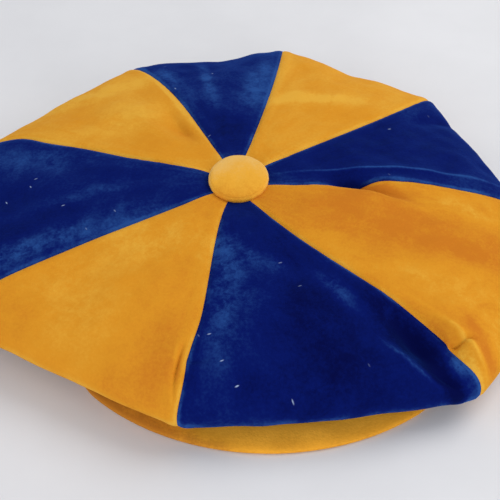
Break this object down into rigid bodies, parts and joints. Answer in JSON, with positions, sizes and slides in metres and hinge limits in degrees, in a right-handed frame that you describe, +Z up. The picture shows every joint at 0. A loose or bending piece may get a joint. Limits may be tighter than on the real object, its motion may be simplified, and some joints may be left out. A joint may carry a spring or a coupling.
{
  "type": "velvet cap with an eight-panel crown, a covered button and a peak",
  "caption": "Soft round velvet cap in yellow and blue panels with a covered button, a stiff front peak and an open oval band for the head.",
  "frame": {"origin": "middle of the outline, seen from above, on the plane that the head band and peak rest on", "axes": "+Z up from the surface that the cap lies on, -Y the way the peak points, +X to the wearer's left"},
  "size_m": [0.3, 0.288, 0.0542],
  "materials": {
    "yellow_velvet": "golden yellow velvet, soft nap brushed lighter and darker in patches",
    "blue_velvet": "royal to navy blue velvet, soft nap brushed lighter and darker in patches"
  },
  "bodies": {
    "root": {"crown_panel_back": "blue_velvet", "crown_panel_back_right": "yellow_velvet", "crown_panel_right": "blue_velvet", "crown_panel_front_right": "yellow_velvet", "crown_panel_front": "blue_velvet", "crown_panel_front_left": "yellow_velvet", "crown_panel_left": "blue_velvet", "crown_panel_back_left": "yellow_velvet", "covered_button": "yellow_velvet", "peak": "yellow_velvet", "head_band": "yellow_velvet"}
  },
  "joints": []
}
